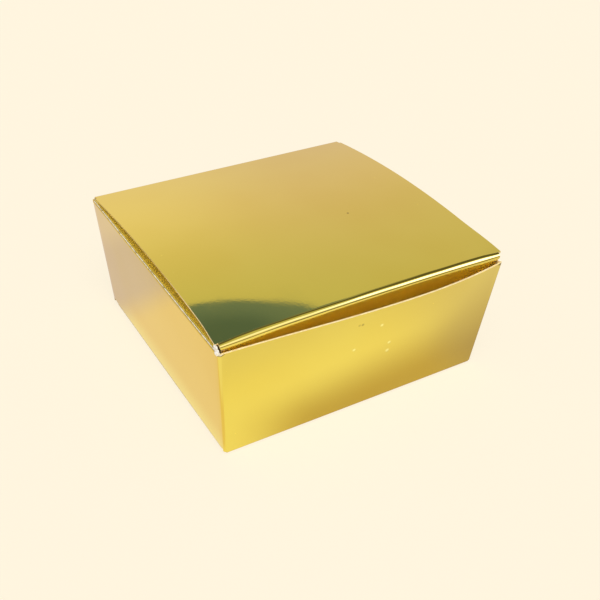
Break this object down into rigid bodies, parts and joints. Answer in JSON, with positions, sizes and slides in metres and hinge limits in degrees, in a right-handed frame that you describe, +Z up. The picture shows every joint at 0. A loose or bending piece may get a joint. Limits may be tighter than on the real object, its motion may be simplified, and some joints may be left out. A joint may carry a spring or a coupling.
{
  "type": "favor box",
  "caption": "Low tapered gift carton folded from gold foil board, with a hinged tuck-in lid, dust flaps and a tuck-in base; holds small favours.",
  "frame": {"origin": "middle of the foot, on the plane the box stands on", "axes": "+Z up through the lid, -Y towards the front wall where the lid tucks in, +X to the right seen from the front"},
  "size_m": [0.0798, 0.08, 0.0371],
  "materials": {
    "foil_board": "mirror-bright gold foil outside, plain white board inside and on cut edges",
    "seam_glue": "dried clear glue"
  },
  "bodies": {
    "walls": {"front_wall": "foil_board", "back_wall": "foil_board", "left_wall": "foil_board", "right_wall": "foil_board", "front_left_corner": "foil_board", "front_right_corner": "foil_board", "back_left_corner": "foil_board", "seam_corner": "foil_board", "glue_tab": "foil_board", "seam_glue": "seam_glue", "lid_crease": "foil_board", "left_dust_crease": "foil_board", "right_dust_crease": "foil_board", "base_crease": "foil_board", "base_left_dust_crease": "foil_board", "base_right_dust_crease": "foil_board"},
    "lid": {"lid_panel": "foil_board", "lid_tuck_crease": "foil_board"},
    "lid_tuck": {"lid_tuck_flap": "foil_board"},
    "left_dust": {"left_dust_flap": "foil_board"},
    "right_dust": {"right_dust_flap": "foil_board"},
    "base": {"base_panel": "foil_board", "base_tuck_crease": "foil_board"},
    "base_tuck": {"base_tuck_flap": "foil_board"},
    "base_left_dust": {"base_left_dust_flap": "foil_board"},
    "base_right_dust": {"base_right_dust_flap": "foil_board"}
  },
  "joints": [
    {"name": "lid_hinge", "type": "hinge", "parent": "walls", "child": "lid", "pos_m": [0, 0.03813, 0.0332], "axis": [-1, 0, 0], "range_deg": [0, 200]},
    {"name": "lid_tuck_hinge", "type": "hinge", "parent": "lid", "child": "lid_tuck", "pos_m": [0, -0.03745, 0.03495], "axis": [-1, 0, 0], "range_deg": [0, 60]},
    {"name": "left_dust_hinge", "type": "hinge", "parent": "walls", "child": "left_dust", "pos_m": [-0.03909, 0, 0.03245], "axis": [0, -1, 0], "range_deg": [0, 90]},
    {"name": "right_dust_hinge", "type": "hinge", "parent": "walls", "child": "right_dust", "pos_m": [0.03909, 0, 0.03245], "axis": [0, 1, 0], "range_deg": [0, 90]},
    {"name": "base_hinge", "type": "hinge", "parent": "walls", "child": "base", "pos_m": [0, -0.03527, 0.0008], "axis": [-1, 0, 0], "range_deg": [0, 180]},
    {"name": "base_tuck_hinge", "type": "hinge", "parent": "base", "child": "base_tuck", "pos_m": [0, 0.0339, 0.0008], "axis": [-1, 0, 0], "range_deg": [0, 54]},
    {"name": "base_left_dust_hinge", "type": "hinge", "parent": "walls", "child": "base_left_dust", "pos_m": [-0.03681, 0, 0.00155], "axis": [0, 1, 0], "range_deg": [0, 81]},
    {"name": "base_right_dust_hinge", "type": "hinge", "parent": "walls", "child": "base_right_dust", "pos_m": [0.03681, 0, 0.00155], "axis": [0, -1, 0], "range_deg": [0, 81]}
  ],
  "couplings": [
    {"joint": "lid_tuck_hinge", "follows": "lid_hinge", "ratio": 0.3},
    {"joint": "left_dust_hinge", "follows": "lid_hinge", "ratio": 0.45},
    {"joint": "right_dust_hinge", "follows": "lid_hinge", "ratio": 0.45},
    {"joint": "base_tuck_hinge", "follows": "base_hinge", "ratio": 0.3},
    {"joint": "base_left_dust_hinge", "follows": "base_hinge", "ratio": 0.45},
    {"joint": "base_right_dust_hinge", "follows": "base_hinge", "ratio": 0.45}
  ]
}
